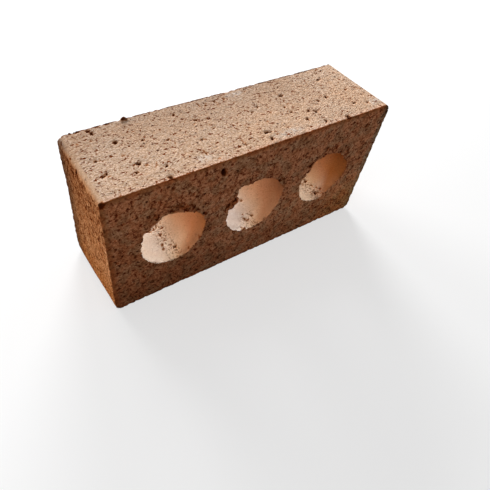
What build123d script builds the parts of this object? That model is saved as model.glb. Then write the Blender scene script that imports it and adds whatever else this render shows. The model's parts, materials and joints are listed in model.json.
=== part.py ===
from build123d import *
import os

# An extruded, wire-cut facing brick of fired clay, standing on one of its long side faces.
#
# Stiff clay is pushed through a die, which has the outline of the brick's bed and a row of
# round core rods in it. The two stretchers and the two headers are the column's drawn faces,
# and the die rounds the four arrises between them. Wires then cut the column across, so both
# beds are cut faces. Their edges and the rims of the cores are eased only a little, by the
# wire's drag and by handling before firing.
#
# Frame, in millimetres: X runs along the brick, Y along the cores, from bed to bed, and Z up
# across the bed. The origin is the middle of the stretcher that the brick stands on.

# Driving dimensions: the brick.
length = 190.0  # along X, from header to header
width = 90.0  # along Z, from stretcher to stretcher, across the bed
height = 57.0  # along Y, from bed to bed: one course of brickwork without its mortar
arris_radius = 4.5  # the die's corners, on the four arrises between the drawn faces

# Driving dimensions: the cores.
core_count = 3
core_diameter = 40.0
core_web = 16.0  # the clay left between neighbouring cores
core_row_rise = 1.4  # how far the row of cores lies above the middle of the bed

# Driving dimensions: the wire-cut edges.
bed_edge_ease = 0.6  # where a cut meets the drawn faces
core_rim_ease = 0.5  # where a cut meets a core


def core_centres():
    """The middles of the cores on a bed, as X and Z: one row along the brick."""
    core_pitch = core_diameter + core_web
    first_core = -core_pitch * (core_count - 1) / 2
    row_height = width / 2 + core_row_rise
    return [(first_core + core_pitch * core, row_height) for core in range(core_count)]


def bed_outlines(clay):
    """The edges round both beds, where the cuts meet the drawn faces."""
    beds = clay.faces().filter_by(Axis.Y)
    return ShapeList(edge for bed in beds for edge in bed.outer_wire().edges())


def core_rims(clay):
    """The edges of the cores on both beds."""
    beds = clay.faces().filter_by(Axis.Y)
    return ShapeList(edge for bed in beds for rim in bed.inner_wires() for edge in rim.edges())


def brick():
    """The die's section drawn out along Y, cut off at both beds and eased along the cuts."""
    back_bed = Plane(origin=(0, height / 2, 0), x_dir=(1, 0, 0), z_dir=(0, -1, 0))
    with BuildPart() as clay:
        with BuildSketch(back_bed):
            with Locations((0, width / 2)):
                RectangleRounded(length, width, arris_radius)
            with Locations(*core_centres()):
                Circle(core_diameter / 2, mode=Mode.SUBTRACT)
        extrude(amount=height)
        chamfer(bed_outlines(clay), bed_edge_ease)
        chamfer(core_rims(clay), core_rim_ease)
    return clay.part


os.makedirs("parts", exist_ok=True)
export_step(brick(), "parts/clay_brick.step")
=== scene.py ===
import json
import random
from math import cos, radians, sin

import bmesh
import bpy
import numpy as np
from mathutils import Euler, Matrix, Vector, kdtree, noise


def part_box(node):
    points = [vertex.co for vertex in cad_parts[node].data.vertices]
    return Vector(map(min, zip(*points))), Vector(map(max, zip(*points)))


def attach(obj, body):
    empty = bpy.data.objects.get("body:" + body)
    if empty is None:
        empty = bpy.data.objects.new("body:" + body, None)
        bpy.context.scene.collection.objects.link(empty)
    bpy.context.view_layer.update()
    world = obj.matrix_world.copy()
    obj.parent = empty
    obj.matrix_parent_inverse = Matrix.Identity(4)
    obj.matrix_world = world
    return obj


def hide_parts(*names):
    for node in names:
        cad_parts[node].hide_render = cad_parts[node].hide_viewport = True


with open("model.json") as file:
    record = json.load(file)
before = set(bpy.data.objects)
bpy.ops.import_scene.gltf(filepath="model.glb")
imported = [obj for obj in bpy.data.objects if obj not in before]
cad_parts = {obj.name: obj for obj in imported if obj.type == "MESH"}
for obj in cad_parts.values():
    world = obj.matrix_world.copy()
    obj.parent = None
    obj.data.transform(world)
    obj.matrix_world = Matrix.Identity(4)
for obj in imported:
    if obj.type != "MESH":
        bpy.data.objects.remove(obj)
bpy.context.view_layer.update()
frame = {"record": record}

bl_info = {
    "name": "Clay Brick",
    "version": (1, 0, 0),
    "blender": (4, 5, 0),
    "location": "View3D > Sidebar > Clay Brick",
    "description": "Models a cored, wire-cut clay brick with its fired finish, and a plain stage",
    "category": "Add Mesh",
}

MM = 0.001
NODE = "clay_brick"
CORES = [mount for mount in frame["record"]["mounts"] if mount["kind"] == "bore"]


def box_size(axis):
    """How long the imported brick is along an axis, in metres."""
    low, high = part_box(NODE)
    return (high - low)[axis]


# The sizes and colours that a user would change.


def length_property(name, description, default):
    return bpy.props.FloatProperty(
        name=name, description=description, default=default, min=0, precision=5,
        subtype="DISTANCE", unit="LENGTH",
    )


def colour_property(name, description, default):
    return bpy.props.FloatVectorProperty(
        name=name, description=description, default=default, size=3,
        min=0, max=1, subtype="COLOR",
    )


def number_property(name, description, default):
    return bpy.props.FloatProperty(name=name, description=description, default=default, min=0)


class BrickShape(bpy.types.PropertyGroup):
    """The sizes of the fired brick and of its surface relief."""

    length: length_property("Length", "From header to header", box_size(0))
    height: length_property("Height", "From bed to bed, along the cores", box_size(1))
    width: length_property("Width", "From stretcher to stretcher", box_size(2))
    arris: length_property("Arris radius", "Rounding between the drawn faces", 4.5 * MM)
    mesh_size: length_property("Mesh size", "Size of the faces that carry the relief", 0.93 * MM)
    warp: length_property("Warp", "How far the faces bow in drying and firing", 0.22 * MM)
    torn_grain: length_property("Torn grain", "Relief of the drawn faces", 0.17 * MM)
    cut_grain: length_property("Cut grain", "Relief of the wire-cut beds", 0.2 * MM)
    skin_ripple: length_property("Core ripple", "Relief of the smooth core walls", 0.05 * MM)
    edge_wear: length_property("Edge wear", "Depth of the small chips along the edges", 0.6 * MM)


class FiredColours(bpy.types.PropertyGroup):
    """The colours of the fired clay."""

    # The stretcher's pale tone is partly its bloom and partly a painted sheen.
    stretcher: colour_property("Stretcher", "Drawn long faces, under a pale bloom", (0.655, 0.465, 0.34))
    # The header's orange is partly the clay's and partly painted orange bounce light.
    header: colour_property("Header", "Drawn end faces", (0.73, 0.31, 0.125))
    bed: colour_property("Bed", "Wire-cut faces", (0.48, 0.205, 0.1))
    core_skin: colour_property("Core skin", "Walls of the cores", (0.97, 0.83, 0.68))
    # Core wall colour on the side away from the light, as painted shade.
    core_shaded_side: colour_property("Core flash", "Walls that the kiln turned orange", (0.62, 0.22, 0.062))
    # The arris colour is partly the polish of the die and partly a painted highlight on the rounding.
    arris: colour_property("Arris", "Polished rounding by the die", (0.74, 0.48, 0.31))
    # The hollow colour is painted shade, the near black at the bottoms of pits, tears and burrs.
    hollow: colour_property("Hollow", "Bottoms of pits and tears", (0.055, 0.008, 0.001))
    bloom: colour_property("Bloom", "Whitish salts near the edges", (0.76, 0.66, 0.58))


class StudioStage(bpy.types.PropertyGroup):
    """The camera and the lamps."""

    lens: bpy.props.FloatProperty(
        name="Lens", description="Focal length", default=31.35, subtype="DISTANCE_CAMERA"
    )
    key_power: number_property("Key power", "Watts of the low lamp behind the brick", 15.5)
    back_power: number_property("Back power", "Watts of the lamp behind it, to the left", 8)
    side_power: number_property("Side power", "Watts of the lamp beside the left header", 2.3)
    fill: number_property("Fill", "Strength of the even light from all round", 0.38)


# The brick's places, in millimetres: X along the brick, Y along the cores, Z up.

# Pits of the upper stretcher: x, y, half width along x, half width along y, depth.
UPPER_PITS = (
    (-70, 10.4, 1.5, 1.9, 1),
    (-84.4, 0.8, 1.1, 1.2, 0.9),
    (-56.3, 6, 1.2, 1.1, 0.9),
    (-44.4, 0.8, 1.3, 1, 0.8),
    (-85.5, -11.9, 2, 1, 1),
    (-83.4, -10.4, 1, 1, 1),
    (-66.3, -10.5, 1.4, 1.6, 1.4),
    (-70, -16, 1.5, 0.9, 0.9),
    (-54.8, -17.8, 1.6, 0.9, 1.2),
    (-30.6, 19.8, 1.1, 1.2, 0.9),
    (-27.5, -7.1, 1.4, 0.9, 0.9),
    (-22, 9.8, 1.4, 1, 0.7),
    (-16.5, -1.1, 1, 0.9, 0.8),
    (7.9, -17.6, 1.5, 1.3, 1.5),
    (10, -18.2, 1.2, 0.8, 1),
    (7.5, -23.6, 1, 1.5, 1.2),
    (12.3, 2.5, 1.2, 1, 1),
    (18.1, 5.8, 0.9, 1.2, 1),
    (21.9, -19, 1.3, 0.9, 0.9),
    (33.1, -1.9, 1.6, 0.8, 0.9),
    (33.8, -7.8, 1.2, 1, 0.9),
    (37.3, -18, 1.2, 1.3, 1.2),
    (39.2, 9.6, 2, 1.2, 1.4),
    (43.5, -11.3, 1.5, 0.9, 0.9),
    (46.3, -24, 1.2, 1.3, 1.1),
    (47.3, -13.9, 1.2, 1.5, 1.5),
    (56.5, -5.5, 1, 1.1, 1),
    (64.2, -4, 1.3, 1.3, 1.5),
    (73.8, 14.5, 1.6, 1.1, 1),
    (75.8, -17.1, 1.9, 1, 1.1),
    (81.4, -2.6, 1.2, 1.5, 0.9),
    (83.8, -20.3, 1.2, 1, 1),
    (-79.4, 26.4, 1.5, 1.6, 0.8),
    (-78, 23.4, 1, 2.2, 1.2),
)
# Short drying cracks of the upper stretcher, along the cores: x, y, half length.
UPPER_CRACKS = (
    (-8.7, -19.6, 3.6),
    (-31.9, -17.8, 3.2),
    (-12.5, 22.9, 2.8),
    (-1.9, 20.8, 3.6),
    (4.6, 22, 2.4),
)
# Whitish bloom of the upper stretcher: x, y, half width along x, half width along y.
UPPER_BLOOM = (
    (20, -23.5, 13, 4),
    (13.5, 23.5, 8, 3.5),
    (-35, -21.5, 6.5, 4.5),
    (88.5, -21.5, 6, 4.5),
)
# Tears of the front bed: x, z, half width, half height, depth, turn in degrees, and the darkness
# of their painted shade.
FRONT_TEARS = (
    (-25.9, 81.9, 1.7, 3.4, 2.6, 25, 1),
    (-62.9, 75, 0.8, 4.4, 0.7, 31, 0.6),
    (-75.6, 22.4, 0.9, 2.6, 1, 27, 0.8),
    (-15.9, 56.8, 2.5, 1.3, 1, 22, 1),
    (-20.2, 54, 2.5, 1.4, 0.8, 35, 0.85),
    (-22.2, 51.6, 1.3, 1.5, 0.7, 0, 0.8),
    (-18.8, 55.4, 4.6, 2.8, 0.3, 30, 0.42),
    (-54, 70.4, 5, 0.7, 0.4, 0, 0.6),
    (-50, 68.8, 5.5, 0.7, 0.4, 0, 0.65),
    (-46.5, 67.2, 4, 0.7, 0.4, 0, 0.55),
    (-67, 68.6, 0.8, 3, 0.5, 45, 0.7),
    (3.6, 21.8, 1.5, 1.4, 1.2, 0, 0.9),
    (-5.2, 26.4, 1.6, 1.3, 0.9, 0, 0.7),
    (80.8, 79, 1.9, 1.5, 1.2, 0, 0.8),
    (78.8, 85, 1.2, 1, 0.8, 0, 0.6),
    (84, 73, 1.3, 1.1, 0.8, 0, 0.6),
    (50.6, 71, 1.2, 1.6, 0.8, 10, 0.7),
    (59, 69.8, 1.8, 1.2, 0.9, -10, 0.6),
    (68, 67, 1.4, 1.1, 0.8, -35, 0.6),
    (71.6, 64, 1.8, 1.2, 1, -40, 0.8),
    (72.4, 60.6, 1.8, 1.2, 1, -35, 0.8),
    (74.5, 56, 1, 2, 0.9, -20, 0.6),
    (40.6, 62.2, 2.6, 1.4, 1.2, 40, 1),
    (17.6, 60.4, 1.8, 1, 0.8, -40, 0.6),
    (21.8, 46.6, 0.9, 1.8, 0.8, -10, 0.7),
    (33, 41.2, 1.8, 0.9, 0.8, 25, 0.6),
    (38.2, 23, 1.5, 1, 0.8, -25, 0.7),
    (62.2, 28.2, 1.2, 1.1, 0.8, 0, 0.7),
    (75.4, 16.2, 1.4, 1.2, 0.9, 0, 0.7),
    (-48.2, 65.2, 1.8, 1, 0.8, -20, 0.7),
    (-41.6, 60.6, 0.9, 1.6, 0.8, -20, 0.6),
    (-90.6, 44, 1, 1.2, 0.8, 0, 0.7),
    (-92, 20, 0.9, 1.4, 0.8, 0, 0.7),
    (-56.2, 83, 1.3, 1.1, 0.8, 0, 0.7),
    (-84.8, 71.4, 1.2, 1, 0.8, 0, 0.6),
    (-27, 67.4, 0.8, 2.2, 0.7, 35, 0.6),
    (-4.6, 15, 1.3, 1.1, 0.8, 0, 0.6),
    (61.5, 89.8, 2, 0.9, 0.9, 0, 0.8),
    (-57, 90, 1.8, 0.9, 0.9, 0, 0.8),
    (93.4, 61, 1, 1.4, 1, 0, 0.9),
    (93.8, 51, 1, 1.6, 0.8, 0, 0.7),
)
# Uneven rims of the cores on the front bed: core, angle, half width in degrees, and how far the
# clay reaches into the core, or back from it where negative.
FRONT_RIMS = (
    (0, 12, 26, -0.5),
    (0, 66, 36, 1.7),
    (0, 107, 7, -1),
    (0, 122, 7, 0.8),
    (0, 136, 4, 0.9),
    (0, 148, 7, -1.3),
    (0, 294, 8, -0.6),
    (1, 10, 16, -0.9),
    (1, 124, 13, -2.9),
    (1, 205, 30, -0.8),
    (1, 236, 20, -0.6),
    (1, 257, 4, 1.6),
    (1, 300, 110, -0.9),
    (2, 32, 14, 0.9),
    (2, 58, 50, 1.7),
    (2, 122, 9, -1.2),
    (2, 142, 12, 1.6),
    (2, 157, 7, 0.8),
    (2, 179, 7, -0.7),
    (2, 288, 4, 0.9),
    (2, 312, 34, 1.5),
)
# How many stretches of each rim on the back bed are moved, at places chosen by the dice.
BACK_RIMS = 5
# How far the headers stand out: which one (-1 left, 1 right), how far at the front bed and at
# the back bed, and how much further near the foot.
HEADERS_OUT = ((-1, 0, 0.65, 1.9), (1, 1.2, 3.3, 0))
# How hollow the back bed is.
BACK_HOLLOW = 0.8
# Crumbs that stand out of the edges: x, y, z, half sizes along them, turn about Y.
CRUMBS = (
    (-57.6, 27.4, 90.4, 1.6, 1.4, 1.4, 0),
    (-88, 28.2, 89.9, 1.3, 0.9, 0.9, 0),
    (-84.6, 28.3, 89.8, 1.5, 0.9, 1, 0),
    (-73.2, 28.2, 90, 1.2, 0.9, 0.8, 0),
    (-67.8, 28.2, 89.9, 1.1, 0.9, 0.9, 0),
    (-93.6, -27.9, 88.6, 1.5, 1.2, 2, 45),
)
# The larger burr by the middle core, in two lumps, in the same way.
BURRS = (
    (-15.6, -26.2, 54.6, 4, 2.4, 2.6, 22),
    (-17.3, -26.2, 52, 2.9, 2.4, 2, 45),
)
# Directions round a core, in degrees from the right header upwards: where the clay closes behind
# the rod, the middle of the pale side that the lamps light through the core, the foot of the
# rim's painted shade and the lee of the wire.
SEAM_ANGLE = 277
PALE_ANGLE = 235
FOOT_ANGLE = 300
LEE_ANGLE = 62
# Pits in the seam of the core walls: core, angle, depth in from the front bed, half width.
SEAM_PITS = (
    (0, 277, 28.3, 1.5), (0, 271, 27.6, 1.3), (0, 284, 25, 1), (0, 274, 21.4, 1.75),
    (0, 275, 18.4, 1.1), (0, 276, 15.9, 1.2), (0, 268, 13.7, 1.2), (0, 265, 10.1, 1.3),
    (0, 281, 10.1, 1.1), (0, 285, 8.1, 1.7), (0, 262, 26.6, 1.6), (0, 304, 1.8, 1.3),
    (0, 274, 4.6, 0.7), (1, 292, 21.9, 1.2), (1, 277, 12.1, 1.3), (1, 273, 8.2, 2.2),
    (1, 276, 6.6, 1.7), (1, 289, 8.2, 1.7), (2, 283, 17, 1.8), (2, 287, 11.6, 1.5),
    (2, 291, 8.2, 1.2), (2, 280, 5, 2.6), (2, 294, 5.4, 1.2),
)
# Pits of the left header: y, z, half width, half height, depth.
HEADER_PITS = (
    (11, 83.5, 1.9, 1.3, 1),
    (8, 81.3, 1.2, 1, 0.8),
    (-7, 84, 1.3, 1.4, 0.9),
    (1, 87, 1.6, 1.2, 0.8),
    (-17, 75.5, 1.4, 2, 1.1),
    (0, 72, 1.2, 1.6, 0.9),
    (-3, 66, 1.5, 1.6, 0.9),
    (-22, 72, 1, 1.4, 0.7),
    (-24, 59, 1, 1.8, 0.8),
    (-13, 57, 1, 1.4, 0.7),
    (16, 62, 1.2, 1.6, 0.7),
    (-8, 47, 0.9, 1.5, 0.6),
    (-19, 40, 0.9, 1.6, 0.6),
)
# Pits that the dice place all over a face: face, how many, half width, depth.
SCATTERED_PITS = (
    ("upper", 110, 0.8, 0.5),
    ("lower", 130, 1.2, 0.9),
    ("left", 70, 1.3, 0.9),
    ("right", 10, 0.9, 0.5),
    ("front", 90, 1, 0.7),
    ("back", 100, 1.2, 0.9),
)
# More pits by dice in each core's seam: how many, how far in they start, and round which angle.
DEEP_PITS = 16
DEEP_PITS_FROM = 30
DEEP_PITS_ANGLE = 278
# How far each core's walls are painted orange as shade on the side away from the light, how far
# they are painted darker as shade, how far round that reaches at the front rim, and how dark the
# painted shade at the rim's foot is besides.
SHADED_SIDE = (0.95, 0.85, 1.08)
RIM_SHADE = (0, 0.3, 0.6)
RIM_SHADE_ROUND = (0.3, 0.4, 0.65)
RIM_SHADE_FOOT = (0.45, 0, 0)
# What the mesh tells the finish of each point, in millimetres up to MARK_REACH or as a share.
MARKS = (
    "cut", "cored", "outline", "end", "corner", "seam", "flash", "smoke", "dragged", "hollow",
    "bloom",
)
MARK_REACH = 9
# The seed of the dice, and of the noise in the outlines of the hollows, which Blender would
# otherwise take from the clock.
DICE_SEED = 190


# Making the shape.


def rise(low, high, value):
    """0 below low, 1 above high and a smooth rise between, in arrays."""
    share = np.clip((value - low) / (high - low), 0, 1)
    return share * share * (3 - 2 * share)


def lumps(points, size, seed, stretch=(1, 1, 1), octaves=1):
    """Noise from about -1 to 1, with lumps about size millimetres across, other by seed."""
    places = points / (np.array(stretch) * size) + 17.3 * seed
    if octaves == 1:
        return np.array([noise.noise(place) for place in places])
    softness, step = 0.9, 2.1
    return np.array([noise.fractal(place, softness, step, octaves) for place in places])


def brick_column(shape):
    """A bmesh of the brick: a rounded outline with cores, drawn from bed to bed."""
    bm = bmesh.new()
    bmesh.ops.create_grid(bm, x_segments=1, y_segments=1, size=0.5)
    bmesh.ops.scale(bm, verts=bm.verts, vec=(shape.length, shape.width, 1))
    bmesh.ops.bevel(
        bm, geom=bm.verts[:], offset=shape.arris, segments=8, profile=0.5,
        affect="VERTICES", material=-1,
    )
    bmesh.ops.delete(bm, geom=bm.faces[:], context="FACES_ONLY")
    for core in CORES:
        x, _, z = core["pos_m"]
        bmesh.ops.create_circle(
            bm, cap_ends=False, radius=core["dims"]["r_mm"] * MM, segments=160,
            matrix=Matrix.Translation((x, z - shape.width / 2, 0)),
        )
    bmesh.ops.triangle_fill(bm, use_beauty=True, use_dissolve=False, edges=bm.edges[:])
    bed = bmesh.ops.extrude_face_region(bm, geom=bm.faces[:])
    bmesh.ops.translate(
        bm, vec=(0, 0, shape.height),
        verts=[part for part in bed["geom"] if isinstance(part, bmesh.types.BMVert)],
    )
    bmesh.ops.recalc_face_normals(bm, faces=bm.faces[:])
    upright = Matrix.Rotation(radians(90), 4, "X")
    on_floor = Matrix.Translation((0, shape.height / 2, shape.width / 2))
    bmesh.ops.transform(bm, matrix=on_floor @ upright, verts=bm.verts)
    return bm


def add_burrs(bm):
    """Lumps that overlap the brick until even_mesh makes them one with it."""
    for x, y, z, half_x, half_y, half_z, turn in (*CRUMBS, *BURRS):
        lump = (
            Matrix.Translation(Vector((x, y, z)) * MM)
            @ Matrix.Rotation(radians(-turn), 4, "Y")
            @ Matrix.Diagonal((half_x * MM, half_y * MM, half_z * MM, 1))
        )
        bmesh.ops.create_icosphere(bm, subdivisions=3, radius=1, matrix=lump)


def even_mesh(name, bm, face_size):
    """An object with the bmesh's shape in even faces, small enough for relief."""
    coarse = bpy.data.meshes.new(name)
    bm.to_mesh(coarse)
    bm.free()
    piece = bpy.data.objects.new(name, coarse)
    bpy.context.scene.collection.objects.link(piece)
    remesh = piece.modifiers.new("even_faces", "REMESH")
    remesh.mode = "VOXEL"
    remesh.voxel_size = face_size
    remesh.use_smooth_shade = True
    evaluated = piece.evaluated_get(bpy.context.evaluated_depsgraph_get())
    piece.data = bpy.data.meshes.new_from_object(evaluated)
    piece.modifiers.clear()
    bpy.data.meshes.remove(coarse)
    piece.data.name = name
    return piece


class Clay:
    """The mesh's points in millimetres, where they lie on the brick, and their relief."""

    def __init__(self, mesh, shape):
        self.mesh = mesh
        self.half_length = shape.length / MM / 2
        self.half_height = shape.height / MM / 2
        self.width = shape.width / MM
        self.arris = shape.arris / MM
        count = len(mesh.vertices)
        self.points = np.zeros(count * 3)
        mesh.vertices.foreach_get("co", self.points)
        self.points = self.points.reshape(-1, 3) / MM
        self.measure()
        self.sharpen(0.5 * shape.mesh_size / MM)
        self.measure()
        self.mark_faces()
        self.mark_cores()
        self.inward = np.zeros(count)
        self.shift = np.zeros((count, 3))
        self.hollow = np.zeros(count)
        self.bloom = np.zeros(count)
        self.tree = kdtree.KDTree(count)
        for number, point in enumerate(self.points):
            self.tree.insert(point, number)
        self.tree.balance()
        # Hollows and burrs are measured from these places, which makes their outlines uneven.
        wobble, wobble_size = 0.8, 1.2
        off = np.array([noise.noise_vector(point / wobble_size) for point in self.points])
        self.ragged = self.points + wobble * off

    def measure(self):
        """How far each point is from the beds, the outline and the nearest core's wall."""
        x, y, z = self.points.T
        z = z - self.width / 2
        self.beyond_x = np.abs(x) - (self.half_length - self.arris)
        self.beyond_z = np.abs(z) - (self.width / 2 - self.arris)
        corner_x, corner_z = np.maximum(self.beyond_x, 0), np.maximum(self.beyond_z, 0)
        corner = np.hypot(corner_x, corner_z)
        flat = np.minimum(np.maximum(self.beyond_x, self.beyond_z), 0)
        self.to_outline = self.arris - corner - flat
        self.to_bed = self.half_height - np.abs(y)
        nothing = np.zeros(len(x))
        along_x = self.beyond_x > self.beyond_z
        self.outline_way = np.stack([
            np.where(corner > 0, corner_x / np.maximum(corner, 1e-6), along_x) * np.sign(x),
            nothing,
            np.where(corner > 0, corner_z / np.maximum(corner, 1e-6), ~along_x) * np.sign(z),
        ], axis=1)
        self.to_core = np.full(len(x), 1e3)
        self.core_number = np.zeros(len(x), int)
        self.core_x = np.zeros(len(x))
        self.core_z = np.zeros(len(x))
        for number, core in enumerate(CORES):
            middle_x, _, middle_z = np.array(core["pos_m"]) / MM
            off_x, off_z = x - middle_x, self.points[:, 2] - middle_z
            away = np.hypot(off_x, off_z) - core["dims"]["r_mm"]
            nearer = away < self.to_core
            self.to_core = np.where(nearer, away, self.to_core)
            self.core_number = np.where(nearer, number, self.core_number)
            self.core_x = np.where(nearer, off_x, self.core_x)
            self.core_z = np.where(nearer, off_z, self.core_z)
        self.core_radius = np.hypot(self.core_x, self.core_z)
        self.core_angle = np.degrees(np.arctan2(self.core_z, self.core_x)) % 360
        self.core_way = np.stack([self.core_x, nothing, self.core_z], axis=1)
        self.core_way /= np.maximum(self.core_radius, 1e-6)[:, None]

    def sharpen(self, reach):
        """Puts the points that lie just off a face or an edge exactly on it."""
        on_outline = np.abs(self.to_outline) < reach
        self.points += (on_outline * self.to_outline)[:, None] * self.outline_way
        on_core = np.abs(self.to_core) < reach
        self.points -= (on_core * self.to_core)[:, None] * self.core_way
        on_bed = np.abs(self.to_bed) < reach
        self.points[:, 1] += on_bed * self.to_bed * np.sign(self.points[:, 1])
        self.write_points(self.points)

    def write_points(self, points):
        """Puts the mesh's points there and reads its new normals."""
        self.mesh.vertices.foreach_set("co", (points * MM).ravel())
        self.mesh.update()
        self.normals = np.zeros(points.size)
        self.mesh.vertices.foreach_get("normal", self.normals)
        self.normals = self.normals.reshape(-1, 3)

    def degrees_from(self, angle):
        """How far round the nearest core each point is from that angle."""
        return np.abs((self.core_angle - angle + 180) % 360 - 180)

    def towards(self, angle):
        """1 where a point lies at that angle round the nearest core, and -1 opposite."""
        return np.cos(np.radians(self.core_angle - angle))

    def mark_faces(self):
        """How far each point is into each kind of face, and where the wire dragged clay."""
        to_core = np.abs(self.to_core)
        reach = (-MARK_REACH, MARK_REACH)
        self.cut = np.clip(np.minimum(self.to_outline, to_core) - self.to_bed, *reach)
        self.cored = np.clip(np.minimum(self.to_outline, self.to_bed) - to_core, *reach)
        self.outline = np.clip(self.to_outline, 0, MARK_REACH)
        self.end = np.clip(self.beyond_x - self.beyond_z, *reach)
        self.corner = np.clip(np.minimum(self.beyond_x, self.beyond_z), *reach)
        self.bed = rise(-0.3, 0.3, self.cut)
        self.core = rise(-0.3, 0.3, self.cored)
        self.drawn = (1 - self.bed) * (1 - self.core)
        from_rim = to_core + 2 * lumps(self.points, 4, 23)
        lee = rise(-0.1, 0.7, self.towards(LEE_ANGLE))
        self.dragged = self.bed * lee * (1 - rise(1.5, 6.5, from_rim))

    def mark_cores(self):
        """The seams behind the rods, and the painted shade on the walls of the cores: orange on the side
        away from the light, and darker near the rims.
        """
        from_seam = self.degrees_from(SEAM_ANGLE) + 6 * lumps(self.points, 4, 21)
        self.seam = self.core * (1 - rise(7, 19, from_seam))
        self.seam *= 1 - (self.core_number == 1) * rise(10, 15, self.to_bed)
        shaded_side_share, rim_shade_share, rim_shade_round, rim_shade_foot = (
            np.array(shares)[self.core_number]
            for shares in (SHADED_SIDE, RIM_SHADE, RIM_SHADE_ROUND, RIM_SHADE_FOOT)
        )
        at_rim = 1 - rise(1, 12, self.to_bed)
        near_rim = 1 - rise(2, 18, self.to_bed)
        away = -self.towards(PALE_ANGLE - 13 * at_rim)
        foot = at_rim * rise(0.5, 1, self.towards(FOOT_ANGLE))
        # Painted shade: the share of dark orange, rising away from the lit side.
        self.flash = rise(-1.0 + 0.05 * at_rim, 0.25 - 0.4 * at_rim, away) * (1 - 0.15 * foot)
        self.flash *= shaded_side_share * (1 - 0.2 * rise(0, 26, self.to_bed))
        # Painted shade, darker near the front rim and in some cores, and at the rim's foot.
        self.smoke = rise(-0.6, 0.6, away + near_rim * rim_shade_round) * (rim_shade_share + 0.5 * near_rim)
        self.smoke += foot * rim_shade_foot

    def carve(self, middle, along, across, half_along, half_across, depth, dark=1):
        """Presses an uneven oval hollow into the clay, with painted shade in it up to dark. Its two
        directions have length 1.
        """
        middle, along, across = Vector(middle), Vector(along), Vector(across)
        reach = 1.3 * max(half_along, half_across) + 1.0
        near = [number for _, number, _ in self.tree.find_range(middle, reach)]
        if not near:
            return
        offset = self.ragged[near] - np.array(middle)
        spread = np.hypot(offset @ np.array(along) / half_along, offset @ np.array(across) / half_across)
        share = 1 - rise(0.45, 1, spread)
        self.inward[near] = np.maximum(self.inward[near], depth * share)
        # The painted shade of the hollow.
        self.hollow[near] = np.maximum(self.hollow[near], dark * (1 - rise(0.6, 1.15, spread)))

    def move_rim(self, number, angle, half_width, reach, bed_side):
        """Pulls a stretch of a core's rim towards the core's axis, or away from it. bed_side is
        -1 for the front bed and 1 for the back bed."""
        share = (self.core_number == number) * (self.points[:, 1] * bed_side > 0)
        share = share * (1 - rise(0.25, 1, self.degrees_from(angle) / half_width))
        share = share * (1 - rise(0.6, max(2.6, 0.3 * half_width), self.to_bed))
        share = share * (1 - rise(0, 4.5, self.to_core))
        self.shift -= (reach * share)[:, None] * self.core_way

    def finished(self):
        """Writes the moved points, none below the floor, and the marks, and joins doubles."""
        moved = self.points + self.shift - self.inward[:, None] * self.normals
        moved[:, 2] = np.maximum(moved[:, 2], 0)
        self.write_points(moved)
        for name in MARKS:
            attribute = self.mesh.attributes.new(name, "FLOAT", "POINT")
            attribute.data.foreach_set("value", getattr(self, name).astype(np.float32))
        self.mesh.set_sharp_from_angle(angle=radians(55))
        bm = bmesh.new()
        bm.from_mesh(self.mesh)
        bmesh.ops.remove_doubles(bm, verts=bm.verts[:], dist=0.001 * MM)
        bm.to_mesh(self.mesh)
        bm.free()


def face_frames(clay):
    """Each flat face as a middle, two directions across it and its half sizes, in millimetres."""
    half_x, half_y, width = clay.half_length, clay.half_height, clay.width
    along_x, along_y, along_z = (1, 0, 0), (0, 1, 0), (0, 0, 1)
    return {
        "upper": ((0, 0, width), along_x, along_y, half_x, half_y),
        "lower": ((0, 0, 0), along_x, along_y, half_x, half_y),
        "front": ((0, -half_y, width / 2), along_x, along_z, half_x, width / 2),
        "back": ((0, half_y, width / 2), along_x, along_z, half_x, width / 2),
        "left": ((-half_x, 0, width / 2), along_y, along_z, half_y, width / 2),
        "right": ((half_x, 0, width / 2), along_y, along_z, half_y, width / 2),
    }


def press_relief(clay, shape):
    """The even relief that covers each kind of face."""
    points = clay.points
    clay.inward += shape.warp / MM * (0.5 + lumps(points, 55, 1))
    rounding = rise(0, 1.5, clay.corner)
    right_header = rise(-1, 1, clay.end) * (points[:, 0] > 0)
    drawn = clay.drawn * (1 - 0.75 * rounding) * (1 - 0.7 * right_header)
    torn = lumps(points, 1.9, 2, stretch=(1, 1.3, 1), octaves=2)
    clay.inward += shape.torn_grain / MM * drawn * (torn + 0.8 * np.maximum(torn, 0))
    grains = lumps(points, 1.6, 3, octaves=2)
    drag = lumps(points, 2.4, 4, stretch=(7, 1, 0.9))
    clay.inward += shape.cut_grain / MM * clay.bed * (grains + 0.3 * drag)
    ripple = lumps(points, 2.2, 5, stretch=(1, 12, 1)) + 0.4 * lumps(points, 3, 6)
    clay.inward += shape.skin_ripple / MM * clay.core * ripple


def wear_edges(clay, shape):
    """Small chips along the wire-cut edges and the rims of the cores."""
    from_edge = np.hypot(clay.to_bed, clay.to_outline)
    worn = np.maximum(lumps(clay.points, 2.6, 7, octaves=2) + 0.1, 0)
    clay.inward += shape.edge_wear / MM * worn * (1 - rise(0.3, 2, from_edge))
    from_rim = np.hypot(clay.to_bed, clay.to_core)
    teeth = lumps(clay.points, 1.8, 8, octaves=2) * (1 - rise(0.3, 2.4, from_rim))
    clay.shift += (1.3 * shape.edge_wear / MM * teeth)[:, None] * clay.core_way


def lean_headers(clay):
    """Both headers stand out more at the back, and the back bed is a little hollow."""
    x, y, z = clay.points.T
    back = (y + clay.half_height) / (2 * clay.half_height)
    low = 1 - rise(10, 60, z)
    for side, at_front, at_back, at_foot in HEADERS_OUT:
        out = at_front + (at_back - at_front) * back + at_foot * low * rise(-0.2, 0.9, back)
        clay.shift[:, 0] += side * rise(78, 94, x * side) * out
    clay.shift[:, 1] -= BACK_HOLLOW * rise(-50, 10, x) * rise(20, 28, y)


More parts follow.
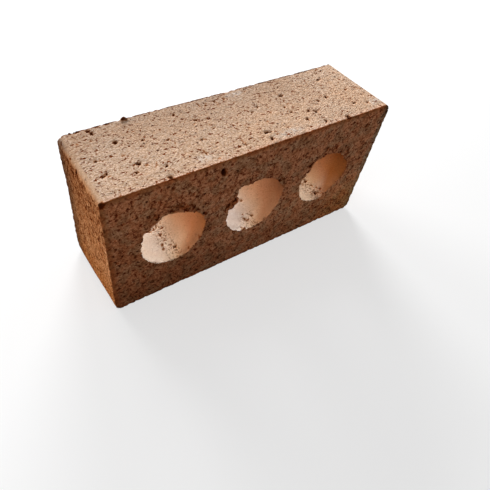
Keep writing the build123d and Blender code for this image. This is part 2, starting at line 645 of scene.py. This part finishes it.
def break_rims(clay, dice):
    """Moves the rims: known on the front bed, and chosen by the dice on the back bed."""
    front, back = -1, 1
    for number, angle, half_width, reach in FRONT_RIMS:
        clay.move_rim(number, angle, half_width, reach, front)
    for number in range(len(CORES)):
        for _ in range(BACK_RIMS):
            angle = dice.uniform(0, 360)
            half_width = dice.uniform(4, 10)
            reach = dice.uniform(-1.6, 1.2)
            clay.move_rim(number, angle, half_width, reach, back)


def scatter_pits(clay, dice, face, count, half_width, depth):
    """Pits of mixed sizes all over one flat face, up to a margin."""
    middle, along, across, half_along, half_across = face_frames(clay)[face]
    middle, along, across = Vector(middle), Vector(along), Vector(across)
    margin = 1.5
    for _ in range(count):
        place = (
            middle
            + along * dice.uniform(-half_along + margin, half_along - margin)
            + across * dice.uniform(-half_across + margin, half_across - margin)
        )
        size = half_width * dice.uniform(0.6, 1) ** 2
        turn = dice.uniform(-0.5, 0.5)
        first = along * cos(turn) + across * sin(turn)
        second = across * cos(turn) - along * sin(turn)
        clay.carve(
            place, first, second, size * dice.uniform(1, 1.7), size,
            depth * size / half_width, dark=dice.uniform(0.35, 0.9),
        )


def core_place(clay, number, angle, depth):
    """A point on a core's wall, and the directions round and along the wall there."""
    core = CORES[number]
    middle_x, _, middle_z = np.array(core["pos_m"]) / MM
    turn = radians(angle)
    radius = core["dims"]["r_mm"]
    place = (middle_x + radius * cos(turn), depth - clay.half_height, middle_z + radius * sin(turn))
    return place, (-sin(turn), 0, cos(turn)), (0, 1, 0)


def press_known_pits(clay):
    """The pits, cracks and tears of the faces that show."""
    for x, y, half_x, half_y, depth in UPPER_PITS:
        clay.carve((x, y, clay.width), (1, 0, 0), (0, 1, 0), half_x, half_y, depth)
    for x, y, half_length in UPPER_CRACKS:
        clay.carve((x, y, clay.width), (0, 1, 0), (1, 0, 0), half_length, 0.75, 0.6, dark=0.7)
    for y, z, half_y, half_z, depth in HEADER_PITS:
        clay.carve((-clay.half_length, y, z), (0, 1, 0), (0, 0, 1), half_y, half_z, depth)
    for x, z, half_x, half_z, depth, turn, dark in FRONT_TEARS:
        lean = radians(turn)
        first, second = (cos(lean), 0, sin(lean)), (-sin(lean), 0, cos(lean))
        clay.carve((x, -clay.half_height, z), first, second, half_x, half_z, depth, dark)


def press_seam_pits(clay, dice):
    """The pits of the seam in each core: known near the front, and by dice further in."""
    for number, angle, depth, half_width in SEAM_PITS:
        place, around, along = core_place(clay, number, angle, depth)
        size = half_width * dice.uniform(0.65, 0.95)
        clay.carve(place, around, along, 0.8 * size, size, 0.7 * size, dark=dice.uniform(0.6, 1))
    for number in range(len(CORES)):
        for _ in range(DEEP_PITS):
            depth = dice.uniform(DEEP_PITS_FROM, 2 * clay.half_height - 2)
            angle = dice.gauss(DEEP_PITS_ANGLE, 7)
            place, around, along = core_place(clay, number, angle, depth)
            size = dice.uniform(0.7, 1.4)
            clay.carve(place, around, along, size, 1.2 * size, 0.8)


def paint_burr_shade(clay):
    """Painted shade: the crumbs are nearly as dark as the pits, and the burr has dark spots."""
    spots = lumps(clay.points, 1.8, 22)
    for burrs, dark in ((CRUMBS, 0.75 + 0.3 * spots), (BURRS, 0.45 + 0.5 * spots)):
        for x, y, z, *half_sizes, _ in burrs:
            away = (clay.ragged - np.array((x, y, z))) / (np.array(half_sizes) + 0.7)
            near = 1 - rise(0.7, 1.15, np.linalg.norm(away, axis=1))
            clay.hollow = np.maximum(clay.hollow, dark * near)


def lay_bloom(clay):
    """The whitish salts on the upper stretcher."""
    on_top = clay.points[:, 2] > clay.width - clay.arris
    for x, y, half_x, half_y in UPPER_BLOOM:
        spread = np.hypot((clay.points[:, 0] - x) / half_x, (clay.points[:, 1] - y) / half_y)
        spread = spread + 0.25 * lumps(clay.points, 3, 9)
        clay.bloom = np.maximum(clay.bloom, on_top * (1 - rise(0.35, 1, spread)))


# The stage, in metres. Each lamp has its place and the setting that holds its power.
LAMPS = (
    ("key_lamp", (0.36, 0.88, 0.345), "key_power"),
    ("back_lamp", (-0.20, 0.93, 0.355), "back_power"),
    ("side_lamp", (-0.88, -0.30, 0.45), "side_power"),
)
LAMP_SIZE = 0.5
FLOOR_REACH = 3.0
NEAREST_SEEN = 0.01
# What the camera sees of the floor is a white that glows by a share of FLOOR_GLOWING, and the
# brick gets light back from a dim floor.
PURE_WHITE = (1, 1, 1)
FLOOR_WHITE = (0.9, 0.9, 0.9)
FLOOR_GLOW = 0.97
FLOOR_GLOWING = 0.6
FLOOR_DIM = (0.26, 0.24, 0.22)
# The camera's place in millimetres, and its heading, tilt and roll in degrees. The shift frames
# the brick as in the photograph.
CAMERA_PLACE = (-131.6, -166, 227.8)
CAMERA_TURNS = (-35.08, 48.59, 5.24)
CAMERA_SHIFT = (0.0816, -0.0204)
SENSOR_WIDTH = 36.0


# The finish.


class Value:
    """A node's output that takes part in plain arithmetic by adding Math nodes."""

    def __init__(self, finish, socket):
        self.finish = finish
        self.socket = socket

    def math(self, operation, *values):
        """A Math node on the values, in their order."""
        return self.finish.node("Math", {"operation": operation}, dict(enumerate(values)))

    def __add__(self, other):
        return self.math("ADD", self, other)

    def __mul__(self, other):
        return self.math("MULTIPLY", self, other)

    def __sub__(self, other):
        return self.math("SUBTRACT", self, other)

    def __rsub__(self, other):
        return self.math("SUBTRACT", other, self)

    __radd__ = __add__
    __rmul__ = __mul__

    def most(self, other):
        """The larger of the two values."""
        return self.math("MAXIMUM", self, other)

    def size(self):
        """The value without its sign."""
        return self.math("ABSOLUTE", self)

    def between(self, low, high):
        """0 below low, 1 above high, and a smooth rise between them."""
        return self.finish.node(
            "MapRange", {"interpolation_type": "SMOOTHSTEP"},
            {"Value": self, "From Min": low, "From Max": high},
        )


class Finish:
    """The nodes of a material or of the world."""

    def __init__(self, owner):
        owner.use_nodes = True
        self.tree = owner.node_tree
        self.tree.nodes.clear()

    def node(self, kind, settings=None, sockets=None, output=0):
        """Makes a node with these settings and sockets, and gives back one of its outputs."""
        made = self.tree.nodes.new("ShaderNode" + kind)
        for name, setting in (settings or {}).items():
            setattr(made, name, setting)
        for name, value in (sockets or {}).items():
            if isinstance(value, Value):
                self.tree.links.new(value.socket, made.inputs[name])
            else:
                made.inputs[name].default_value = value
        return Value(self, made.outputs[output]) if made.outputs else None

    def places(self, stretch=(1, 1, 1), seed=0):
        """The object's coordinates in millimetres, stretched, and moved on by the seed."""
        return self.node(
            "VectorMath", {"operation": "MULTIPLY_ADD"},
            {
                0: self.node("TexCoord", output="Object"),
                1: tuple(1 / (MM * part) for part in stretch),
                2: (31.0 * seed, 17.0 * seed, 53.0 * seed),
            },
        )

    def grain(self, size, seed, stretch=(1, 1, 1), detail=2, roughness=0.5):
        """Noise from 0 to 1 with lumps about size millimetres across."""
        return self.node(
            "TexNoise", None,
            {
                "Vector": self.places(stretch, seed), "Scale": 1 / size,
                "Detail": detail, "Roughness": roughness,
            },
        )

    def specks(self, spacing, seed, largest):
        """Uneven specks, one in each cell of that spacing and up to that share of it."""
        place = self.places(seed=seed)
        bend = self.node(
            "TexNoise", None,
            {"Vector": place, "Scale": 2.4 / spacing, "Detail": 2.0}, output="Color",
        )
        bent = self.node(
            "VectorMath", {"operation": "MULTIPLY_ADD"},
            {0: bend, 1: (0.55 * spacing,) * 3, 2: place},
        )
        cell = {"Vector": bent, "Scale": 1 / spacing}
        away = self.node("TexVoronoi", {"feature": "F1"}, cell, output="Distance")
        cell_colour = self.node("TexVoronoi", {"feature": "F1"}, cell, output="Color")
        chance, _, _ = self.split(cell_colour)
        return (chance * chance * largest - away).between(-0.04, 0.07)

    def split(self, vector):
        """The three parts of a vector."""
        parts = self.node("SeparateXYZ", None, {"Vector": vector})
        return [Value(self, part) for part in parts.socket.node.outputs]

    def mark(self, name):
        """What the mesh says of a point under that name."""
        return self.node("Attribute", {"attribute_name": name}, output="Fac")

    def mix(self, share, first, second, blend="MIX"):
        """The first colour turned into the second by share. A colour Mix node takes its share at
        socket 0 and the colours at 6 and 7, and gives the result at 2."""
        return self.node(
            "Mix", {"data_type": "RGBA", "blend_type": blend},
            {0: share, 6: first, 7: second}, output=2,
        )

    def tinted(self, colour, *steps):
        """The colour after each step, which is a share and the tint that multiplies it."""
        for share, tint in steps:
            colour = self.mix(share, colour, opaque(tint), "MULTIPLY")
        return colour


def opaque(colour, tint=(1, 1, 1)):
    """The colour times the tint, as a colour socket takes it."""
    return (*(part * by for part, by in zip(colour, tint)), 1)


class FiredClay(Finish):
    """The brick's one material. The marks on the mesh tell its kinds of face apart."""

    def __init__(self, owner, colours):
        super().__init__(owner)
        self.colours = colours
        self.x, self.y, self.z = self.split(self.places())
        self.fray = self.grain(1.2, 11) - 0.5
        self.find_faces()
        self.spread_grain()

    def find_faces(self):
        """The share of each kind of face, with frayed borders between them."""
        fray = self.fray
        self.end = self.mark("end") + fray * 3.0
        self.bed = (self.mark("cut") + fray * 1.1).between(-0.82, -0.62)
        self.core = (self.mark("cored") + fray * 1.1).between(-0.1, 0.1)
        corner = (self.mark("corner") + fray * 1.5).between(0.6, 2.2)
        self.rounding = corner * (1 - self.bed) * (1 - self.core)
        self.cut_edge = self.bed * (self.mark("outline") + fray * 2).between(4, 1.2)
        from_cut = self.mark("cut") + fray * 1.2
        # Bands along the front cut: the wider carries a painted highlight, the narrow one painted shade.
        self.front_cut_highlight = from_cut.between(-4.5, -1.5) * self.y.between(10, -10)
        self.front_cut_shade = from_cut.between(-2, -0.7) * self.y.between(10, -10)
        smooth = (1 - self.rounding * 0.55) * (1 - self.cut_edge * 0.55)
        self.rough_skin = (1 - self.core * 0.8) * smooth

    def spread_grain(self):
        """What lies over the faces, from wide clouds to pits, as shares."""
        bed, cut_edge = self.bed, self.cut_edge
        self.clouds = self.grain(26, 1, detail=3).between(0.36, 0.66)
        self.patches = self.grain(7, 2).between(0.35, 0.65)
        grit = self.grain(1, 4, stretch=(1.15, 0.95, 1), detail=3, roughness=0.65)
        self.grit = grit.between(0.35, 0.65)
        marks = self.grain(1.6, 3, stretch=(1.25, 0.95, 1), detail=3, roughness=0.6)
        self.dark_marks = (marks + bed * 0.01).between(0.588, 0.638) * self.rough_skin
        tears = self.grain(2.4, 13, detail=3, roughness=0.6) + self.mark("dragged") * 0.08
        self.tears = tears.between(0.62, 0.68) * bed * (1 - cut_edge * 0.7)
        cracks = (self.grain(7, 16) - 0.5).size().between(0.035, 0.012)
        self.cracks = cracks * self.grain(4, 17).between(0.54, 0.6) * bed * (1 - cut_edge)
        closing = self.grain(1.1, 10, stretch=(1, 1.3, 1), roughness=0.6)
        self.seam_crumbs = self.mark("seam") * closing.between(0.5, 0.36)
        self.seam_pits = self.mark("seam") * closing.between(0.54, 0.6)
        self.pits = self.specks(3.6, 9, 0.22) * self.rough_skin

    def stretcher(self):
        """The drawn long faces, with a painted highlight along the front cut."""
        return self.tinted(
            opaque(self.colours.stretcher),
            (self.clouds, (1, 0.94, 0.88)),
            (self.patches * 0.7, (0.93, 0.97, 1)),
            # Painted highlight along the front cut.
            (self.front_cut_highlight, (1.12, 1.1, 1.14)),
        )

    def header(self):
        """The drawn end faces, streaked upright, with painted shade up high, painted orange bounce light
        near the foot, and a painted highlight and a line of painted shade along the front cut.
        """
        streaks = self.grain(2.2, 12, stretch=(1, 1, 1.6), detail=3, roughness=0.65)
        streaks = streaks + self.z.between(50, 85) * 0.06
        return self.tinted(
            opaque(self.colours.header),
            (self.clouds, (0.92, 0.86, 0.8)),
            (self.patches, (1.06, 1.14, 1.2)),
            (streaks.between(0.5, 0.38), (1.2, 1.32, 1.45)),
            (streaks.between(0.55, 0.65), (0.36, 0.22, 0.14)),
            ((1 - self.grit) * 0.7, (0.67, 0.57, 0.48)),
            # Painted shade up high.
            (self.z.between(30, 80), (0.86, 0.84, 0.84)),
            # Painted orange bounce light near the foot.
            (self.z.between(38, 4), (0.98, 0.84, 0.62)),
            # Painted highlight along the front cut, then painted shade right at it.
            (self.front_cut_highlight, (1.2, 1.32, 1.48)),
            (self.front_cut_shade, (0.74, 0.64, 0.54)),
        )

    def drawn_faces(self):
        """The stretchers and headers with the polished rounding between them, which carries a painted
        highlight, and painted shade towards the back and at the back end of the left rounding.
        """
        # The rounding: partly the polish of the die, partly a painted highlight.
        arris = self.mix(
            self.end.between(-1.5, 2.5), opaque(self.colours.arris),
            opaque(self.colours.header, (0.95, 1.12, 1.36)),
        )
        flat = self.mix(self.end.between(-1.6, 2.2), self.stretcher(), self.header())
        return self.tinted(
            self.mix(self.rounding * 0.85, flat, arris),
            # Painted shade at the back end of the left rounding.
            (self.y.between(12, 26) * self.x.between(-92.5, -94.5), (0.5, 0.54, 0.62)),
            # Painted shade towards the back, less so near the right end.
            (self.y.between(-15, 28) * self.x.between(95, 40), (0.76, 0.76, 0.77)),
        )

    def cut_beds(self):
        """The wire-cut faces: two browns in blots, then the tones of parts of them, with painted shade
        low down, along the edges, at the top right corner and over the back bed.
        """
        x, y, z = self.x, self.y, self.z
        browns = self.mix(
            self.grain(8, 5, detail=3).between(0.42, 0.6),
            opaque(self.colours.bed, (1.08, 0.97, 0.91)),
            opaque(self.colours.bed, (0.92, 1.01, 1.04)),
        )
        # Painted shade along the top edge of the bed.
        top_edge_shade = (self.mark("outline") + self.fray).between(1.2, 0.4) * z.between(80, 86)
        return self.tinted(
            browns,
            (x.between(-60, -20), (1.05, 1.12, 1.2)),
            # Painted shade lower down on the left.
            (z.between(75, 35) * x.between(0, -50), (0.86, 0.84, 0.82)),
            (z.between(60, 30) * x.between(-40, 60), (1.14, 1.16, 1.14)),
            (z.between(40, 10) * x.between(50, 85), (1.2, 1.15, 0.88)),
            (x.between(90, 94), (0.78, 1.1, 1.35)),
            # Painted shade at the top right corner.
            (x.between(91, 94) * z.between(79, 86), (0.4, 0.34, 0.34)),
            # Painted shade towards the foot.
            (z.between(30, 8), (0.74, 0.69, 0.65)),
            (self.mark("dragged") * 0.5, (0.8, 0.72, 0.65)),
            # Painted shade along the outline of the bed, and more along its top edge.
            (self.cut_edge, (0.76, 0.6, 0.44)),
            (top_edge_shade, (0.72, 0.68, 0.66)),
            # Painted shade over the back bed.
            (y.between(0, 20), (0.7, 0.76, 0.82)),
        )

    def core_walls(self):
        """The smooth walls, pale on the lit side and orange as painted shade on the other. Further in
        they get painted shade on the pale side, but painted light in the middle core; the right core and
        the rims get painted shade too. The borders in x lie between the cores.
        """
        x, y = self.x, self.y
        flash = self.mark("flash")
        pale = (1 - flash) * (1 - flash)
        turning = flash * (1 - flash) * 4
        middle_core = x.between(-36, -20) * x.between(36, 20)
        return self.tinted(
            self.mix(flash, opaque(self.colours.core_skin), opaque(self.colours.core_shaded_side)),
            # Painted shade further in from the front rim, on the pale side.
            (y.between(-27, -10) * (1 - flash), (0.75, 0.75, 0.755)),
            (turning * x.between(36, 20).most(y.between(-22, -13)), (1.08, 1.02, 0.86)),
            # Painted shade on the middle core, slight on its pale side and more on its orange side.
            (pale * middle_core, (0.92, 0.945, 1.02)),
            (flash * middle_core, (0.87, 0.79, 0.75)),
            # Painted light further in, in the middle core.
            (middle_core * y.between(-17, -4) * y.between(26, 8), (1.18, 1.24, 1.3)),
            # Painted shade over the right core.
            ((1 - flash * flash) * x.between(20, 36), (0.88, 0.79, 0.7)),
            # Painted shade near the rims and per core.
            (self.mark("smoke"), (0.5, 0.48, 0.46)),
            (self.patches * 0.6, (0.97, 0.92, 0.88)),
        )

    def grained(self, colour):
        """The colour with the grit, crumbs, blotches, marks and seams that lie over it."""
        bed, grit = self.bed, self.grit
        crumbs = self.grain(2, 6, detail=3, roughness=0.6).between(0.32, 0.56)
        blotches = self.grain(5, 15).between(0.38, 0.62)
        return self.tinted(
            colour,
            (grit * self.rough_skin * (1 - bed * 0.5), (1.21, 1.26, 1.31)),
            ((1 - grit) * self.rough_skin, (0.75, 0.64, 0.54)),
            (crumbs * bed, (1.12, 1.16, 1.2)),
            ((1 - crumbs) * bed, (0.64, 0.55, 0.48)),
            (blotches * bed, (1.09, 1.13, 1.17)),
            ((1 - blotches) * bed, (0.89, 0.85, 0.81)),
            (self.dark_marks, (0.33, 0.12, 0.04)),
            (self.tears, (0.33, 0.14, 0.06)),
            (self.cracks, (0.42, 0.3, 0.24)),
            (self.seam_crumbs, (1.14, 1.16, 1.18)),
            (self.seam_pits, (0.5, 0.36, 0.27)),
        )

    def pitted(self, colour):
        """That colour with salts and light specks, and painted shade in the pits and the hollows of the
        mesh.
        """
        hollow, hollow_shade = self.mark("hollow"), opaque(self.colours.hollow)
        salts = self.mark("bloom") * self.grain(2.2, 14, detail=3, roughness=0.7).between(0.35, 0.6)
        light_specks = self.bed * self.specks(5.5, 8, 0.12)
        # Painted shade in the pits.
        colour = self.mix(self.pits * 0.85, colour, hollow_shade)
        colour = self.mix(salts * (1 - self.dark_marks) * 0.6, colour, opaque(self.colours.bloom))
        colour = self.mix(light_specks * 0.5, colour, opaque(self.colours.bed, (1.7, 2.4, 3)))
        # Painted shade round the hollows, and near black in them.
        colour = self.tinted(colour, (hollow.between(0.1, 0.5), (0.8, 0.55, 0.38)))
        return self.mix(hollow.between(0.35, 0.85) * (0.95 - self.core * 0.3), colour, hollow_shade)

    def relief(self):
        """The height of the grain that is too fine for the mesh, in metres."""
        raised = self.grit * 0.17
        sunk = self.dark_marks * 0.2 + self.tears * 0.25 + self.seam_pits * 0.2 + self.pits * 0.4
        return (raised - sunk) * MM

    def lay(self):
        """Joins the finishes of all faces to the shader."""
        faces = self.mix(self.bed, self.drawn_faces(), self.cut_beds())
        colour = self.mix(self.core, faces, self.core_walls())
        bump = {"Height": self.relief(), "Distance": 1, "Strength": 1}
        shader = self.node(
            "BsdfPrincipled", None,
            {
                "Base Color": self.pitted(self.grained(colour)),
                "Roughness": 0.93 - self.rounding * 0.14 - self.core * 0.08,
                "Normal": self.node("Bump", None, bump),
                "Specular IOR Level": 0.0,
            },
        )
        self.node("OutputMaterial", None, {"Surface": shader})


def fired_clay(colours):
    """The brick's material."""
    material = bpy.data.materials.new("fired_clay")
    FiredClay(material, colours).lay()
    return material


def pale_floor():
    """A floor that shows near white with the brick's shadow, and throws little light back."""
    material = bpy.data.materials.new("pale_floor")
    floor = Finish(material)
    rays = ("Is Camera Ray", "Is Glossy Ray", "Is Transmission Ray")
    camera, glossy, through = (floor.node("LightPath", output=ray) for ray in rays)
    shown = camera.most(glossy).most(through)
    white = floor.node("BsdfDiffuse", None, {"Color": opaque(FLOOR_WHITE)})
    glow = floor.node("Emission", None, {"Color": opaque(PURE_WHITE), "Strength": FLOOR_GLOW})
    visible = floor.node("MixShader", None, {0: FLOOR_GLOWING, 1: white, 2: glow})
    dim = floor.node("BsdfDiffuse", None, {"Color": opaque(FLOOR_DIM)})
    surface = floor.node("MixShader", None, {0: shown, 1: dim, 2: visible})
    floor.node("OutputMaterial", None, {"Surface": surface})
    return material


# The operators, the panel and the order in which they run.


class CLAYBRICK_OT_brick(bpy.types.Operator):
    """Model the brick with its relief and give it the fired clay finish"""

    bl_idname = "claybrick.brick"
    bl_label = "Clay Brick"

    def execute(self, context):
        shape = context.scene.clay_brick_shape
        column = brick_column(shape)
        add_burrs(column)
        piece = even_mesh("clay_brick_visible", column, shape.mesh_size)
        dice = random.Random(DICE_SEED)
        noise.seed_set(DICE_SEED)
        clay = Clay(piece.data, shape)
        press_relief(clay, shape)
        wear_edges(clay, shape)
        lean_headers(clay)
        break_rims(clay, dice)
        press_known_pits(clay)
        press_seam_pits(clay, dice)
        for face, count, half_width, depth in SCATTERED_PITS:
            scatter_pits(clay, dice, face, count, half_width, depth)
        paint_burr_shade(clay)
        lay_bloom(clay)
        clay.finished()
        piece.data.materials.append(fired_clay(context.scene.clay_brick_colours))
        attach(piece, "root")
        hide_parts(NODE)
        return {"FINISHED"}


def add_lamp(name, place, power):
    """A soft round lamp that shines on the middle of the brick."""
    lamp = bpy.data.lights.new(name, "AREA")
    lamp.shape = "DISK"
    lamp.size = LAMP_SIZE
    lamp.energy = power
    holder = bpy.data.objects.new(name, lamp)
    holder.location = place
    ray = Vector((0, 0, box_size(2) / 2)) - Vector(place)
    holder.rotation_euler = ray.to_track_quat("-Z", "Y").to_euler()
    bpy.context.scene.collection.objects.link(holder)


class CLAYBRICK_OT_stage(bpy.types.Operator):
    """Add the pale floor, the soft lamps, the even fill and the camera"""

    bl_idname = "claybrick.stage"
    bl_label = "Studio Stage"

    def execute(self, context):
        scene = context.scene
        stage = scene.clay_brick_stage
        self.lay_floor(scene)
        for name, place, power in LAMPS:
            add_lamp(name, place, getattr(stage, power))
        self.light_world(scene, stage.fill)
        self.place_camera(scene, stage.lens)
        scene.view_settings.view_transform = "Standard"
        return {"FINISHED"}

    def lay_floor(self, scene):
        """A wide square floor under the brick."""
        bm = bmesh.new()
        bmesh.ops.create_grid(bm, x_segments=1, y_segments=1, size=FLOOR_REACH)
        mesh = bpy.data.meshes.new("floor")
        bm.to_mesh(mesh)
        bm.free()
        mesh.materials.append(pale_floor())
        floor = bpy.data.objects.new("floor", mesh)
        scene.collection.objects.link(floor)

    def light_world(self, scene, fill):
        """White to the camera, and a low even light to everything else."""
        scene.world = bpy.data.worlds.new("studio")
        studio = Finish(scene.world)
        seen = studio.node("LightPath", output="Is Camera Ray")
        strength = studio.node(
            "MapRange", None, {"Value": seen, "To Min": fill, "To Max": 1.0},
        )
        background = studio.node(
            "Background", None, {"Color": opaque(PURE_WHITE), "Strength": strength},
        )
        studio.node("OutputWorld", None, {"Surface": background})

    def place_camera(self, scene, lens):
        """Above the left end of the front bed, looking down across the brick."""
        heading, tilt, roll = (radians(angle) for angle in CAMERA_TURNS)
        camera = bpy.data.cameras.new("camera")
        camera.sensor_width = SENSOR_WIDTH
        camera.lens = lens
        camera.shift_x, camera.shift_y = CAMERA_SHIFT
        camera.clip_start = NEAREST_SEEN
        holder = bpy.data.objects.new("camera", camera)
        looking_down = Euler((radians(90) - tilt, 0, heading)).to_matrix()
        rolled = looking_down @ Matrix.Rotation(roll, 3, "Z")
        holder.matrix_world = Matrix.Translation(Vector(CAMERA_PLACE) * MM) @ rolled.to_4x4()
        scene.collection.objects.link(holder)
        scene.camera = holder


class CLAYBRICK_PT_panel(bpy.types.Panel):
    """Lists the brick's settings and the steps that build it"""

    bl_idname = "CLAYBRICK_PT_panel"
    bl_label = "Clay Brick"
    bl_space_type = "VIEW_3D"
    bl_region_type = "UI"
    bl_category = "Clay Brick"

    def draw(self, context):
        layout = self.layout
        for name in GROUPS:
            group = getattr(context.scene, name)
            box = layout.box()
            for setting in group.__annotations__:
                box.prop(group, setting)
        for step in STEPS:
            layout.operator(step.bl_idname)


GROUPS = {
    "clay_brick_shape": BrickShape,
    "clay_brick_colours": FiredColours,
    "clay_brick_stage": StudioStage,
}
STEPS = (CLAYBRICK_OT_brick, CLAYBRICK_OT_stage)


def register():
    for kind in (*GROUPS.values(), *STEPS, CLAYBRICK_PT_panel):
        bpy.utils.register_class(kind)
    for name, kind in GROUPS.items():
        setattr(bpy.types.Scene, name, bpy.props.PointerProperty(type=kind))


def unregister():
    for name in GROUPS:
        delattr(bpy.types.Scene, name)
    for kind in (CLAYBRICK_PT_panel, *STEPS, *GROUPS.values()):
        bpy.utils.unregister_class(kind)


def main():
    register()
    bpy.ops.claybrick.brick()
    bpy.ops.claybrick.stage()


if __name__ == "__main__":
    main()
